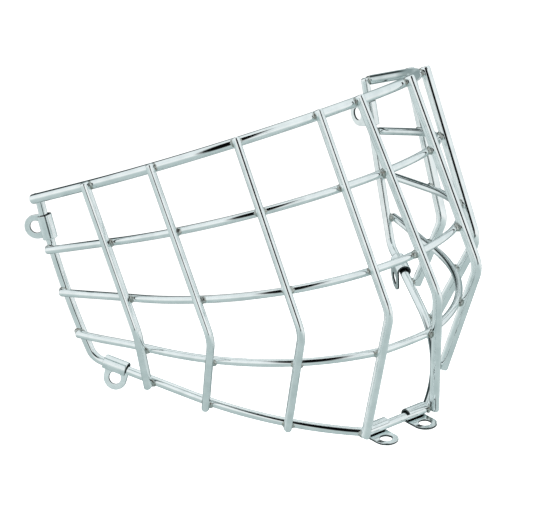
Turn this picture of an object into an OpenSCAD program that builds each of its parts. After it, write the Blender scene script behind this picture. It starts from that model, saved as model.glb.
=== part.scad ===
// Hockey goalie cage of welded chromed steel wire, with six swivelling mounting clips.
// Millimetres. +X is the wearer's left, -Y is the front of the face, +Z is up.
// The cross wires and the rim lie on one curved face. The uprights are welded outside it
// and the two side legs of the perimeter wire inside it, so every crossing touches.

/* [Brow bar] */
// Radius of the brow bar across the front
front_radius = 110.2; // [104:0.2:118]
// Heading at which the front radius ends, on each side
front_angle = 22.6; // [18:0.2:28]
// Radius of the brow bar round the sides
side_radius = 89.7; // [85:0.1:95]
// Heading of the straight ends of the brow bar
end_angle = 76.7; // [73:0.1:80]
// Tilt of the brow bar, rising to the rear
brow_tilt = 5.5; // [3:0.1:8]
// Length of the brow bar past the side legs
brow_end = 1.5; // [1:0.1:4]

/* [Wire] */
// Diameter of the brow bar
brow_wire = 4.6; // [4:0.1:5.2]
// Diameter of the three cross wires
cross_wire = 3.6; // [3:0.1:4]
// Diameter of the perimeter wire
perimeter_wire_d = 4.0; // [3.6:0.1:4.4]
// Width of the uprights, seen from the front
upright_width = 3.7; // [3:0.1:4.2]
// Depth of the uprights, from front to back
upright_depth = 5.0; // [4.4:0.1:5.8]
// Depth to which crossing wires sink into each other at the welds
weld_depth = 0.3; // [0.2:0.05:0.5]
// Chamfer on the cut ends of the wires
end_chamfer = 0.5; // [0.2:0.1:0.8]

/* [Kink line] */
// Height of the brow bar above the kink of the uprights, at the front
kink_drop = 94.4; // [90:0.2:98]
// Rise of the kink line per millimetre to the rear
kink_rise = 0.41; // [0.36:0.01:0.46]
// Width of the kink line as a share of the brow bar's width
kink_narrowing = 0.923; // [0.9:0.001:0.95]
// Distance of the kink line behind the brow bar, at the front
kink_setback = -0.4; // [-2:0.1:1]
// Bend radius of the uprights at the kink
kink_radius = 11; // [6:0.5:14]

/* [Rim] */
// Depth of the rim below the brow bar, at the chin
rim_drop = 142.1; // [137:0.2:145]
// Distance of the rim behind the brow bar, at the chin
rim_setback = 39.5; // [36:0.2:43]
// Tilt of the rim's plane, rising to the rear
rim_tilt = 43.8; // [41:0.1:46]
// Half length of the straight stretch at the chin
chin_half = 16.0; // [14:0.1:18]
// Bend radius beside the chin
chin_radius = 6.0; // [5:0.1:12]
// Heading after the bend beside the chin
chin_angle = 36.0; // [30:0.1:40]
// Radius of the rim along the cheeks
cheek_radius = 159.0; // [140:0.5:175]
// Heading of the straight stretch at the jaw
jaw_angle = 65.2; // [63:0.1:71]
// Length along the rim from the middle of the chin to the jaw corner
jaw_at = 150.2; // [148:0.1:154]
// Bend radius at the jaw corner
jaw_radius = 8; // [6:0.1:8.5]
// Bow of the side legs between the jaw corner and the brow bar
leg_bow = 1.8; // [0.4:0.1:3]
// Direction of that bow, from straight outwards towards the rear
leg_bow_heading = 54; // [30:1:90]
// Length of the side legs above the middle of the brow bar
leg_end = 1.4; // [0.6:0.1:2.2]

/* [Cross wires] */
// Depth of the upper cross wire below the brow bar, at the front
upper_drop = 34.4; // [30:0.2:38]
// Rise of the upper cross wire per millimetre to the rear
upper_rise = 0.19; // [0.16:0.01:0.22]
// Depth of the middle cross wire below the brow bar, at the front
middle_drop = 74.1; // [70:0.2:78]
// Rise of the middle cross wire per millimetre to the rear
middle_rise = 0.357; // [0.33:0.001:0.38]
// Depth of the plane of the lower cross wire below the front of the brow bar
lower_drop = 116.6; // [114:0.2:119]
// Rise of the lower cross wire per millimetre to the rear
lower_rise = 0.54; // [0.52:0.001:0.6]
// Length of the upper cross wire past the side legs
upper_end = 0.8; // [0.4:0.1:3]
// Length of the middle cross wire past the side legs
middle_end = 0.6; // [0.4:0.1:3]
// Length of the lower cross wire past the side legs
lower_end = 0.3; // [0.2:0.1:3]

/* [Uprights] */
// Place of the centre uprights along the brow bar, from its middle
centre_top = 11.9; // [9:0.1:15]
// Place of the front uprights along the brow bar
front_top = 52.3; // [48:0.1:56]
// Place of the side uprights along the brow bar
side_top = 91.4; // [87:0.1:95]
// Place of the outer uprights along the brow bar
outer_top = 124.7; // [121:0.1:128]
// Place of the side legs along the brow bar
leg_top = 160.1; // [157:0.1:163]
// Place of the centre uprights along the kink line
centre_kink = 14.4; // [12:0.1:17]
// Place of the front uprights along the kink line
front_kink = 57.4; // [54:0.1:61]
// Place of the side uprights along the kink line
side_kink = 97.6; // [94:0.1:101]
// Place of the outer uprights along the kink line
outer_kink = 134.2; // [130:0.1:137]
// Place of the side legs along the kink line
leg_kink = 172.4; // [168:0.1:176]
// Place of the centre uprights along the rim, from the middle of the chin
centre_foot = 19.2; // [18.5:0.1:22]
// Place of the front uprights along the rim
front_foot = 53.5; // [50:0.1:58]
// Place of the side uprights along the rim
side_foot = 91.5; // [87:0.1:96]
// Place of the outer uprights along the rim
outer_foot = 120.3; // [117:0.1:125]
// Place along the rim below the side edge of the face
leg_foot = 140.4; // [137:0.1:145]
// Length of the uprights above the middle of the brow bar
top_end = 2.3; // [1.5:0.1:4]
// Length of the uprights below the middle of the rim
foot_end = 0.7; // [0.5:0.1:3]

/* [Clips] */
// Width of the strap that the clips are stamped from
strap_width = 11.4; // [10:0.1:12]
// Thickness of the strap
strap_thickness = 1.0; // [0.8:0.1:1.2]
// Gap all round between the perimeter wire and the eye of a clip
eye_clearance = 0.45; // [0.4:0.05:0.5]
// Distance by which the loose eye sits off the middle of the wire
eye_shift = 0.25; // [0:0.05:0.3]
// Angle that the strap wraps round the wire
eye_wrap = 236; // [225:1:240]
// Diameter of the screw hole
screw_hole = 5.8; // [5.2:0.1:6]
// Distance of the screw hole from the middle of the wire
hole_reach = 6.4; // [5.9:0.1:9]
// Place of the right temple clip, below the brow bar along the leg
right_temple_at = 14.6; // [9:0.1:15.8]
// Place of the left temple clip, below the brow bar along the leg
left_temple_at = 15.6; // [9:0.1:15.8]
// Place of the right jaw clip, along the rim from the jaw corner
right_jaw_at = 11.4; // [11:0.1:18]
// Place of the left jaw clip
left_jaw_at = 16.5; // [11:0.1:18]
// Place of the right chin clip, from the middle of the chin
right_chin_at = 11.7; // [7:0.1:12]
// Place of the left chin clip, from the middle of the chin
left_chin_at = 12.0; // [7:0.1:12]
// Turn of the right temple clip from pointing straight back, towards the outside
right_temple_turn = 30; // [-40:1:40]
// Turn of the left temple clip
left_temple_turn = 6; // [-40:1:40]
// Turn of the right jaw clip from pointing square away from the rim's plane, towards the outside
right_jaw_turn = 18; // [-30:1:30]
// Turn of the left jaw clip
left_jaw_turn = 10; // [-30:1:30]
// Turn of the right chin clip from pointing straight down, towards the front
right_chin_turn = 57; // [0:1:75]
// Turn of the left chin clip
left_chin_turn = 57; // [0:1:75]

/* [Hidden] */
$fn = 64;

chrome = [0.80, 0.83, 0.84];
chrome_clip = [0.70, 0.74, 0.76];

// Overlap and step that let a bend and its straights fuse into one wire
lap = 0.2;
step = 0.02;
degree = PI / 180;

// Offsets of the uprights and the legs from the face on which the cross wires lie
upright_offset = cross_wire / 2 + upright_depth / 2 - weld_depth;
leg_offset = cross_wire / 2 + perimeter_wire_d / 2 - weld_depth;

// Rings and sides of the cross wires
cross_rings = 30;
cross_sides = 16;

eye_bore = perimeter_wire_d + 2 * eye_clearance;
eye_outer = eye_bore + 2 * strap_thickness;

// Vectors
function unit(v) = v / norm(v);
function turn_between(a, b) = acos(max(-1, min(1, unit(a) * unit(b))));
function across(v, way) = v - way * (v * way);
function spun(v, axis, angle) = v * cos(angle) + cross(axis, v) * sin(angle)
    + axis * (axis * v) * (1 - cos(angle));
function flipped(v, side) = [v.x * side, v.y, v.z];
function smooth(t) = let (c = max(0, min(1, t))) c * c * (3 - 2 * c);

// A flat curve that starts straight ahead, turns by two radii and goes on straight.
// It returns the sideways and the rearward distance at length s.
function curve(s, half, r1, a1, r2, a2) = let (
    e0 = min(s, half),
    s1 = r1 * a1 * degree,
    s2 = r2 * (a2 - a1) * degree,
    h1 = max(0, min((s - half) / r1 / degree, a1)),
    h2 = max(a1, min(a1 + (s - half - s1) / r2 / degree, a2)),
    e = max(0, s - half - s1 - s2))
    [e0 + r1 * sin(h1) + r2 * (sin(h2) - sin(a1)) + e * cos(a2),
     r1 * (1 - cos(h1)) + r2 * (cos(a1) - cos(h2)) + e * sin(a2)];

// Points of the brow bar, the kink line and the rim, on the left side
function lifted(p, tilt) = [p[0], p[1] * cos(tilt), p[1] * sin(tilt)];
function brow_at(s) = lifted(curve(s, 0, front_radius, front_angle, side_radius, end_angle), brow_tilt);
function kink_at(s) = let (p = curve(s, 0, front_radius, front_angle, side_radius, end_angle))
    [p[0] * kink_narrowing, p[1] + kink_setback, kink_rise * p[1] - kink_drop];
function rim_at(s) = [0, rim_setback, -rim_drop]
    + lifted(curve(s, chin_half, chin_radius, chin_angle, cheek_radius, jaw_angle), rim_tilt);

// Places along the kink line and the rim that go with a place along the brow bar
tops = [centre_top, front_top, side_top, outer_top, leg_top];
kinks = [centre_kink, front_kink, side_kink, outer_kink, leg_kink];
feet = [centre_foot, front_foot, side_foot, outer_foot, leg_foot];
past = 1.3;
kink_table = concat([[0, 0]], [for (i = [0:4]) [tops[i], kinks[i]]], [[leg_top * past, leg_kink * past]]);
foot_table = concat([[0, 0]], [for (i = [0:4]) [tops[i], feet[i]]],
    [[leg_top * past, feet[4] + leg_top * (past - 1)]]);
function kink_under(s) = kink_at(lookup(s, kink_table));
function rim_under(s) = rim_at(lookup(s, foot_table));

// Point where the line from a to b crosses the plane of a cross wire
function plane_share(a, b, drop, rise) = (rise * a.y - drop - a.z) / ((b.z - a.z) - rise * (b.y - a.y));
function plane_cut(a, b, drop, rise) = a + (b - a) * plane_share(a, b, drop, rise);

// Outward directions of the face at a place along the brow bar, above and below the kink
small = 0.5;
function upper_out(s) = unit(cross(kink_under(s) - brow_at(s), brow_at(s + small) - brow_at(s - small)));
function lower_out(s) = unit(cross(rim_under(s) - kink_under(s), rim_under(s + small) - rim_under(s - small)));

// Perimeter wire: jaw corner, leg and the directions there
jaw_corner = rim_at(jaw_at);
jaw_way = unit(rim_at(jaw_at) - rim_at(jaw_at - small));
leg_cross = brow_at(leg_top) - upper_out(leg_top) * leg_offset;
leg_way = unit(leg_cross - jaw_corner);
leg_length = norm(leg_cross - jaw_corner);
rim_normal = [0, -sin(rim_tilt), cos(rim_tilt)];

// Leg: it leaves the jaw bend turned outwards by the bow, then follows one arc to the brow bar
bow_side = unit(across([cos(leg_bow_heading), sin(leg_bow_heading), 0], leg_way));
bow_turn = 2 * atan(2 * leg_bow / leg_length);
leg_start_way = leg_way * cos(bow_turn) + bow_side * sin(bow_turn);
jaw_back = jaw_radius * tan(turn_between(jaw_way, leg_start_way) / 2);
leg_start = jaw_corner + leg_start_way * jaw_back;
leg_span = leg_cross - leg_start;
leg_inside = unit(across(leg_span, leg_start_way));
leg_radius = leg_span * leg_span / (2 * leg_span * leg_inside);
leg_angle = 2 * asin(norm(leg_span) / (2 * leg_radius));
function leg_on(angle) = leg_start + leg_start_way * leg_radius * sin(angle)
    + leg_inside * leg_radius * (1 - cos(angle));
function leg_way_on(angle) = leg_start_way * cos(angle) + leg_inside * sin(angle);

// Points of a cross wire on the left side; near the leg it is drawn onto the leg's outside
function face_point(s, drop, rise, low) = low
    ? plane_cut(kink_under(s), rim_under(s), drop, rise)
    : plane_cut(brow_at(s), kink_under(s), drop, rise);
function face_way(drop, rise, low) =
    unit(face_point(leg_top, drop, rise, low) - face_point(leg_top - small, drop, rise, low));
near = 1;
function leg_seat(drop, rise, low) = let (
    angle = leg_angle * plane_share(leg_start, leg_cross, drop, rise),
    at = plane_cut(leg_on(angle - near), leg_on(angle + near), drop, rise),
    out = unit(cross(-leg_way_on(angle), face_way(drop, rise, low))))
    at + out * leg_offset;
function leg_gap(drop, rise, low) = leg_seat(drop, rise, low) - face_point(leg_top, drop, rise, low);
function leg_draw(drop, rise, low) = across(leg_gap(drop, rise, low), face_way(drop, rise, low));
function leg_slide(drop, rise, low) = leg_gap(drop, rise, low) * face_way(drop, rise, low);
function wire_point(s, drop, rise, low, draw) =
    face_point(s, drop, rise, low) + draw * smooth((s - outer_top) / (leg_top - outer_top));

// Places a shape with its Z along way, its X towards side
module aim(at, way, side) {
    z = unit(way);
    y = unit(cross(z, side));
    x = cross(y, z);
    multmatrix([[x.x, y.x, z.x, at.x], [x.y, y.y, z.y, at.y], [x.z, y.z, z.z, at.z]]) children();
}

// Straight stretch with the child outline
module run(from, to, side) {
    aim(from, to - from, side) linear_extrude(norm(to - from)) children();
}

// Arc with the child outline, from a start point along way, bending towards inside
module arc(start, way, inside, radius, angle, spin) {
    extra = lap / radius / degree;
    centre = start + inside * radius;
    axis = cross(-inside, way);
    multmatrix([[-inside.x, way.x, axis.x, centre.x], [-inside.y, way.y, axis.y, centre.y],
                [-inside.z, way.z, axis.z, centre.z]])
        rotate([0, 0, -extra])
            rotate_extrude(angle = angle + 2 * extra)
                translate([radius, 0])
                    rotate(spin) children();
}

// Arc that does not lap into its neighbours
module plain_arc(start, way, inside, radius, angle) {
    centre = start + inside * radius;
    axis = cross(-inside, way);
    multmatrix([[-inside.x, way.x, axis.x, centre.x], [-inside.y, way.y, axis.y, centre.y],
                [-inside.z, way.z, axis.z, centre.z]])
        rotate_extrude(angle = angle)
            translate([radius, 0])
                children();
}

// Round bar with a chamfered far end
module ended_bar(from, to, diameter) {
    length = norm(to - from);
    aim(from, to - from, [1, 0, 0])
        rotate_extrude()
            polygon([[0, 0], [diameter / 2, 0], [diameter / 2, length - end_chamfer],
                     [diameter / 2 - end_chamfer, length], [0, length]]);
}

module slot_outline(width, depth) {
    square([depth - width, width], center = true);
    for (k = [-1, 1])
        translate([k * (depth - width) / 2, 0])
            circle(d = width);
}

// Brow bar: one arc across the front, an arc and a straight end on each side
module brow_half() {
    bend_end = front_radius * front_angle * degree + side_radius * (end_angle - front_angle) * degree;
    bend_start = front_radius * front_angle * degree;
    way = lifted([cos(front_angle), sin(front_angle)], brow_tilt);
    inside = lifted([-sin(front_angle), cos(front_angle)], brow_tilt);
    arc(brow_at(bend_start), way, inside, side_radius, end_angle - front_angle, 0)
        circle(d = brow_wire - step);
    ended_bar(brow_at(bend_end), brow_at(leg_top + brow_end), brow_wire);
}

module brow_bar() color(chrome) {
    way = lifted([cos(front_angle), -sin(front_angle)], brow_tilt);
    inside = lifted([sin(front_angle), cos(front_angle)], brow_tilt);
    plain_arc(flipped(brow_at(front_radius * front_angle * degree), -1), way, inside,
        front_radius, 2 * front_angle)
        circle(d = brow_wire);
    brow_half();
    mirror([1, 0, 0]) brow_half();
}

// Cross wire: rings of points swept along the wire
module cross_wire_sweep(drop, rise, low, over) {
    draw = leg_draw(drop, rise, low);
    reach = leg_top + leg_slide(drop, rise, low) + over;
    plane_up = unit([0, -rise, 1]);
    line = [for (i = [-cross_rings:1:cross_rings]) let (s = reach * i / cross_rings)
        flipped(wire_point(abs(s), drop, rise, low, draw), s < 0 ? -1 : 1)];
    last = len(line) - 1;
    ways = [for (i = [0:last]) unit(line[min(i + 1, last)] - line[max(i - 1, 0)])];
    // The end rings are repeated, smaller and drawn back, for the chamfer
    ring_at = concat([line[0]], [line[0] + ways[0] * end_chamfer], [for (i = [1:last - 1]) line[i]],
        [line[last] - ways[last] * end_chamfer], [line[last]]);
    ring_way = concat([ways[0]], ways, [ways[last]]);
    rings = len(ring_at);
    points = [for (i = [0:rings - 1]) let (
        radius = cross_wire / 2 - ((i == 0 || i == rings - 1) ? end_chamfer : 0),
        out = unit(cross(ring_way[i], plane_up)),
        up = cross(out, ring_way[i]))
        for (j = [0:cross_sides - 1]) let (a = 360 * (j + 0.5) / cross_sides)
            ring_at[i] + out * radius * cos(a) + up * radius * sin(a)];
    sides = [for (i = [0:rings - 2]) for (j = [0:cross_sides - 1]) let (
        a = i * cross_sides + j,
        b = i * cross_sides + (j + 1) % cross_sides,
        c = a + cross_sides,
        d = b + cross_sides)
        each [[a, b, d], [a, d, c]]];
    start_cap = [for (j = [cross_sides - 1:-1:0]) j];
    end_cap = [for (j = [0:cross_sides - 1]) (rings - 1) * cross_sides + j];
    polyhedron(points = points, faces = concat([start_cap], sides, [end_cap]));
}

module upper_cross_wire() color(chrome) cross_wire_sweep(upper_drop, upper_rise, false, upper_end);
module middle_cross_wire() color(chrome) cross_wire_sweep(middle_drop, middle_rise, false, middle_end);
module lower_cross_wire() color(chrome) cross_wire_sweep(lower_drop, lower_rise, true, lower_end);

// Upright number i, counted from the middle, on the left side
module upright(i) {
    out_up = upper_out(tops[i]);
    out_low = lower_out(tops[i]);
    out_kink = unit(out_up + out_low);
    brow = brow_at(tops[i]) + out_up * upright_offset;
    kink = kink_at(kinks[i]) + out_kink * upright_offset / (out_kink * out_up);
    foot = rim_at(feet[i]) + out_low * upright_offset;
    up_way = unit(kink - brow);
    low_way = unit(foot - kink);
    angle = turn_between(up_way, low_way);
    back = kink_radius * tan(angle / 2);
    axis = unit(cross(up_way, low_way));
    inside = cross(axis, up_way);
    start = kink - up_way * back;
    side_low = spun(across(out_up, up_way), axis, angle);
    run(brow - up_way * top_end, start, out_up) slot_outline(upright_width, upright_depth);
    arc(start, up_way, inside, kink_radius, angle, atan2(out_up * axis, -(out_up * inside)))
        slot_outline(upright_width - step, upright_depth - step);
    run(kink + low_way * back, foot + low_way * foot_end, side_low)
        slot_outline(upright_width, upright_depth);
}

module left_centre_upright() color(chrome) upright(0);
module left_front_upright() color(chrome) upright(1);
module left_side_upright() color(chrome) upright(2);
module left_outer_upright() color(chrome) upright(3);
module right_centre_upright() color(chrome) mirror([1, 0, 0]) upright(0);
module right_front_upright() color(chrome) mirror([1, 0, 0]) upright(1);
module right_side_upright() color(chrome) mirror([1, 0, 0]) upright(2);
module right_outer_upright() color(chrome) mirror([1, 0, 0]) upright(3);

// Perimeter wire: chin, bend, cheek, jaw and leg
module perimeter_half() {
    chin_end = rim_at(chin_half);
    cheek_start = rim_at(chin_half + chin_radius * chin_angle * degree);
    cheek_end_at = chin_half + chin_radius * chin_angle * degree
        + cheek_radius * (jaw_angle - chin_angle) * degree;
    inside = unit(across(leg_start_way, jaw_way));
    bend_start = jaw_corner - jaw_way * jaw_back;
    arc(chin_end, [1, 0, 0], lifted([0, 1], rim_tilt), chin_radius, chin_angle, 0)
        circle(d = perimeter_wire_d - step);
    plain_arc(cheek_start, lifted([cos(chin_angle), sin(chin_angle)], rim_tilt),
        lifted([-sin(chin_angle), cos(chin_angle)], rim_tilt), cheek_radius, jaw_angle - chin_angle)
        circle(d = perimeter_wire_d);
    run(rim_at(cheek_end_at) - jaw_way * lap, bend_start + jaw_way * lap, rim_normal)
        circle(d = perimeter_wire_d - step);
    plain_arc(bend_start, jaw_way, inside, jaw_radius, turn_between(jaw_way, leg_start_way))
        circle(d = perimeter_wire_d);
    arc(leg_start, leg_start_way, leg_inside, leg_radius, leg_angle, 0)
        circle(d = perimeter_wire_d - step);
    ended_bar(leg_cross, leg_cross + leg_way_on(leg_angle) * leg_end, perimeter_wire_d);
}

module perimeter_wire() color(chrome) {
    run(flipped(rim_at(chin_half), -1), rim_at(chin_half), rim_normal) circle(d = perimeter_wire_d);
    perimeter_half();
    mirror([1, 0, 0]) perimeter_half();
}

// Clip: an eye rolled round the wire and a flat tab with a screw hole and a round end.
// X runs along the tab, Y from the wire to the tab, Z along the wire.
module clip_shape() {
    mouth = 360 - eye_wrap;
    far = eye_outer;
    translate([-eye_shift, 0, 0]) {
        linear_extrude(strap_width, center = true)
            difference() {
                circle(d = eye_outer);
                circle(d = eye_bore);
                polygon([[0, 0], far * [cos(90 - mouth), sin(90 - mouth)],
                         far * [cos(90 - mouth / 2), sin(90 - mouth / 2)] * 1.5, [0, far]]);
            }
        translate([0, eye_outer / 2, 0])
            rotate([90, 0, 0])
                linear_extrude(strap_thickness)
                    difference() {
                        union() {
                            translate([0, -strap_width / 2])
                                square([hole_reach + eye_shift, strap_width]);
                            translate([hole_reach + eye_shift, 0])
                                circle(d = strap_width);
                        }
                        translate([hole_reach + eye_shift, 0])
                            circle(d = screw_hole);
                    }
    }
}

module clip(at, frame) {
    x = frame[0];
    y = frame[1];
    z = cross(x, y);
    multmatrix([[x.x, y.x, z.x, at.x], [x.y, y.y, z.y, at.y], [x.z, y.z, z.z, at.z]])
        clip_shape();
}

// Directions of a clip's tab and of its inner side, turned about the wire
function turned(tab, inner, turn) = [tab * cos(turn) - inner * sin(turn), inner * cos(turn) + tab * sin(turn)];

// Seats and directions of the clips on the left side
function leg_below(below) = leg_angle - below / leg_radius / degree;
function leg_rear(below) = unit(across([0, 1, 0], leg_way_on(leg_below(below))));
function leg_frame(below, turn) =
    turned(leg_rear(below), cross(leg_way_on(leg_below(below)), leg_rear(below)), turn);
function jaw_seat(at) = jaw_corner - jaw_way * at;
function jaw_frame(turn) = turned(-rim_normal, cross(jaw_way, -rim_normal), turn);
function chin_seat(at) = [at, rim_setback, -rim_drop];
function chin_frame(turn) = turned([0, 0, -1], [0, 1, 0], turn);

module temple_clip(below, turn) clip(leg_on(leg_below(below)), leg_frame(below, turn));
module jaw_clip(at, turn) clip(jaw_seat(at), jaw_frame(turn));
module chin_clip(at, turn) clip(chin_seat(at), chin_frame(turn));

module left_temple_clip() color(chrome_clip) temple_clip(left_temple_at, left_temple_turn);
module right_temple_clip() color(chrome_clip) mirror([1, 0, 0]) temple_clip(right_temple_at, right_temple_turn);
module left_jaw_clip() color(chrome_clip) jaw_clip(left_jaw_at, left_jaw_turn);
module right_jaw_clip() color(chrome_clip) mirror([1, 0, 0]) jaw_clip(right_jaw_at, right_jaw_turn);
module left_chin_clip() color(chrome_clip) chin_clip(left_chin_at, left_chin_turn);
module right_chin_clip() color(chrome_clip) mirror([1, 0, 0]) chin_clip(right_chin_at, right_chin_turn);

// Farthest point of a clip's round end along an axis
function tab_far(at, frame, axis) = (at + frame[0] * hole_reach + frame[1] * eye_outer / 2) * axis
    + strap_width / 2 * norm(across(axis, frame[1]));

// The origin is the middle of the part's box
box_front = min([for (i = [0:3]) (kink_at(kinks[i]) + upper_out(tops[i]) * upright_offset).y]) - upright_depth / 2;
box_rear = max(tab_far(jaw_seat(right_jaw_at), jaw_frame(right_jaw_turn), [0, 1, 0]),
    tab_far(jaw_seat(left_jaw_at), jaw_frame(left_jaw_turn), [0, 1, 0]));
box_top = brow_at(leg_top + brow_end).z + brow_wire / 2;
box_bottom = -max([for (turn = [right_chin_turn, left_chin_turn])
    tab_far(chin_seat(0), chin_frame(turn), [0, 0, -1])]);
centre = [0, (box_front + box_rear) / 2, (box_top + box_bottom) / 2];
module placed() {
    translate(-centre) children();
}

placed() brow_bar();
placed() upper_cross_wire();
placed() middle_cross_wire();
placed() lower_cross_wire();
placed() right_outer_upright();
placed() right_side_upright();
placed() right_front_upright();
placed() right_centre_upright();
placed() left_centre_upright();
placed() left_front_upright();
placed() left_side_upright();
placed() left_outer_upright();
placed() perimeter_wire();
placed() right_temple_clip();
placed() left_temple_clip();
placed() right_jaw_clip();
placed() left_jaw_clip();
placed() right_chin_clip();
placed() left_chin_clip();
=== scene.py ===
"""Looks of the hockey goalie cage: chromed wires, welds, rolled clips and a white studio.

Sizes are millimetres in the cage's own construction frame, whose origin is the middle of the brow bar.
+X is the wearer's left, -Y the front of the face and +Z up. Meshes are made in metres in the row frame.
"""
import logging
from dataclasses import dataclass
from enum import Enum
from functools import partial
from math import acos, asin, atan, atan2, cos, pi, radians, sin, tan
from typing import Callable

import bmesh
import bpy
import numpy as np
from bpy.types import Material, Mesh, NodeSocket, NodeTree, Object, World
from mathutils import Matrix, Vector, noise


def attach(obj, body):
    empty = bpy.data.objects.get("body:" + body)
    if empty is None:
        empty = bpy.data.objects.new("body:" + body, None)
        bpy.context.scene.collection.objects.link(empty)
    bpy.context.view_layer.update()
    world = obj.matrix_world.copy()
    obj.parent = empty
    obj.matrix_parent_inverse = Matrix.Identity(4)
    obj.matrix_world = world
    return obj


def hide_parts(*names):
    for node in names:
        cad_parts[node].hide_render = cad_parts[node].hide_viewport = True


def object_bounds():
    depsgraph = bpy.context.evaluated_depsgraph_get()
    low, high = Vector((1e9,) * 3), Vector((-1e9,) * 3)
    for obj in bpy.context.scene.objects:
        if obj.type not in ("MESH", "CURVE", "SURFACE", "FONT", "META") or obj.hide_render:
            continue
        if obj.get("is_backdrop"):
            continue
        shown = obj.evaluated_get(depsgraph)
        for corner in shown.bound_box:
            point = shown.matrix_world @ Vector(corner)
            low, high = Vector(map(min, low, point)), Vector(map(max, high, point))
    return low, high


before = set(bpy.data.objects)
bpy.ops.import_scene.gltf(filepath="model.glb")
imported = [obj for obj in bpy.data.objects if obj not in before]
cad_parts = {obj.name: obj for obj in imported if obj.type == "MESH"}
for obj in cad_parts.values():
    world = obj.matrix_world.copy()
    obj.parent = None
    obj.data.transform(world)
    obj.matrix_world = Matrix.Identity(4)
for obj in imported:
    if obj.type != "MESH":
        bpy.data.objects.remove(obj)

LOG = logging.getLogger("goalie_cage")
MM = 0.001
TINY = 1e-9
CAGE_BODY = "cage"
WIRE_SLOT = "plated_wire"
STRAP_SLOT = "plated_strap"
PLACE_LAYER = "wire_place"
Array = np.ndarray
# Unit directions of the construction frame
LEFT, REAR, UP = np.eye(3)
Curve = Callable[[float], Array]
Faces = list[tuple[int, ...]]
Stops = tuple[tuple[float, str], ...]
Adder = Callable[..., NodeSocket]


# Small helpers for vectors
def unit(v: Array) -> Array:
    """Returns v at length one."""
    return v / np.linalg.norm(v)


def across(v: Array, way: Array) -> Array:
    """Returns the part of v that is square to the unit vector way."""
    return v - way * float(v @ way)


def spun(v: Array, axis: Array, angle: float) -> Array:
    """Returns v turned about a unit axis by an angle in radians, counter-clockwise."""
    sideways = np.cross(axis, v) * sin(angle)
    return v * cos(angle) + sideways + axis * float(axis @ v) * (1 - cos(angle))


def bent(start: Array, way: Array, inside: Array, radius: float, turn: float) -> Array:
    """Returns the point of a bend after a turn in radians from its start, where it heads along way."""
    return start + (way * sin(turn) + inside * (1 - cos(turn))) * radius


def angle_between(a: Array, b: Array) -> float:
    """Returns the angle between two vectors, in radians."""
    return acos(max(-1.0, min(1.0, float(unit(a) @ unit(b)))))


def smooth(t: float) -> float:
    """Returns the soft step of t, held between 0 and 1."""
    c = max(0.0, min(1.0, t))
    return c * c * (3 - 2 * c)


def count_of(length: float, step: float, finer: int = 1, least: int = 2) -> int:
    """Returns how many points a stretch gets, where its step may be some times finer."""
    return max(least, int(length / step * finer))


def resampled(rows: Array, lengths: Array, at: Array) -> Array:
    """Returns the rows read at other lengths along their line."""
    return np.column_stack([np.interp(at, lengths, column) for column in rows.T])


def linear(hex_colour: str) -> tuple[float, float, float, float]:
    """Turns an sRGB hex colour to linear values.

    Args:
        hex_colour: The colour as "#RRGGBB".

    Returns:
        Red, green, blue and an alpha of one, all linear.
    """
    values = []
    for at in (1, 3, 5):
        c = int(hex_colour[at:at + 2], 16) / 255.0
        values.append(c / 12.92 if c <= 0.04045 else ((c + 0.055) / 1.055) ** 2.4)
    return values[0], values[1], values[2], 1.0


@dataclass(frozen=True)
class CageSizes:
    """Driving sizes of the cage, in millimetres and degrees, the same as in the part's source."""

    # Brow bar: its two bends, its rise towards the rear and how far it runs past the legs
    front_radius: float = 110.2
    front_angle: float = 22.6
    side_radius: float = 89.7
    end_angle: float = 76.7
    brow_tilt: float = 5.5
    brow_end: float = 1.5
    # Wires, and the depth by which welded wires sink into each other
    brow_wire: float = 4.6
    cross_wire: float = 3.6
    perimeter_wire: float = 4.0
    upright_width: float = 3.7
    upright_depth: float = 5.0
    weld_depth: float = 0.3
    # Line of the uprights' kinks
    kink_drop: float = 94.4
    kink_rise: float = 0.41
    kink_narrowing: float = 0.923
    kink_setback: float = -0.4
    kink_radius: float = 11.0
    # Rim round the chin and the jaw
    rim_drop: float = 142.1
    rim_setback: float = 39.5
    rim_tilt: float = 43.8
    chin_half: float = 16.0
    chin_radius: float = 6.0
    chin_angle: float = 36.0
    cheek_radius: float = 159.0
    jaw_angle: float = 65.2
    jaw_at: float = 150.2
    jaw_radius: float = 8.0
    # Bowed leg up to the brow bar
    leg_bow: float = 1.8
    leg_bow_heading: float = 54.0
    leg_end: float = 1.4
    # Places of the four uprights and the leg along the brow bar, the line of kinks and the rim
    tops: tuple[float, ...] = (11.9, 52.3, 91.4, 124.7, 160.1)
    kinks: tuple[float, ...] = (14.4, 57.4, 97.6, 134.2, 172.4)
    feet: tuple[float, ...] = (19.2, 53.5, 91.5, 120.3, 140.4)
    top_end: float = 2.3
    foot_end: float = 0.7
    # Clips
    strap_width: float = 11.4
    strap_thickness: float = 1.0
    eye_clearance: float = 0.45
    eye_shift: float = 0.25
    eye_wrap: float = 236.0
    screw_hole: float = 5.8
    hole_reach: float = 6.4


@dataclass(frozen=True)
class CrossWire:
    """One cross wire: the plane that cuts it from the face, and how far it runs past the legs."""

    name: str
    drop: float
    rise: float
    low: bool
    end: float


CROSS_WIRES = (
    CrossWire("upper_cross_wire", 34.4, 0.19, False, 0.8),
    CrossWire("middle_cross_wire", 74.1, 0.357, False, 0.6),
    CrossWire("lower_cross_wire", 116.6, 0.54, True, 0.3),
)


class ClipSeat(Enum):
    """The kinds of place on the perimeter wire where a clip hangs."""

    TEMPLE = "temple"
    JAW = "jaw"
    CHIN = "chin"


@dataclass(frozen=True)
class ClipPlace:
    """One clip: its node, the kind of its seat, its side, its place along the wire and its turn about it."""

    node: str
    seat: ClipSeat
    side: int
    at: float
    turn: float


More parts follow.
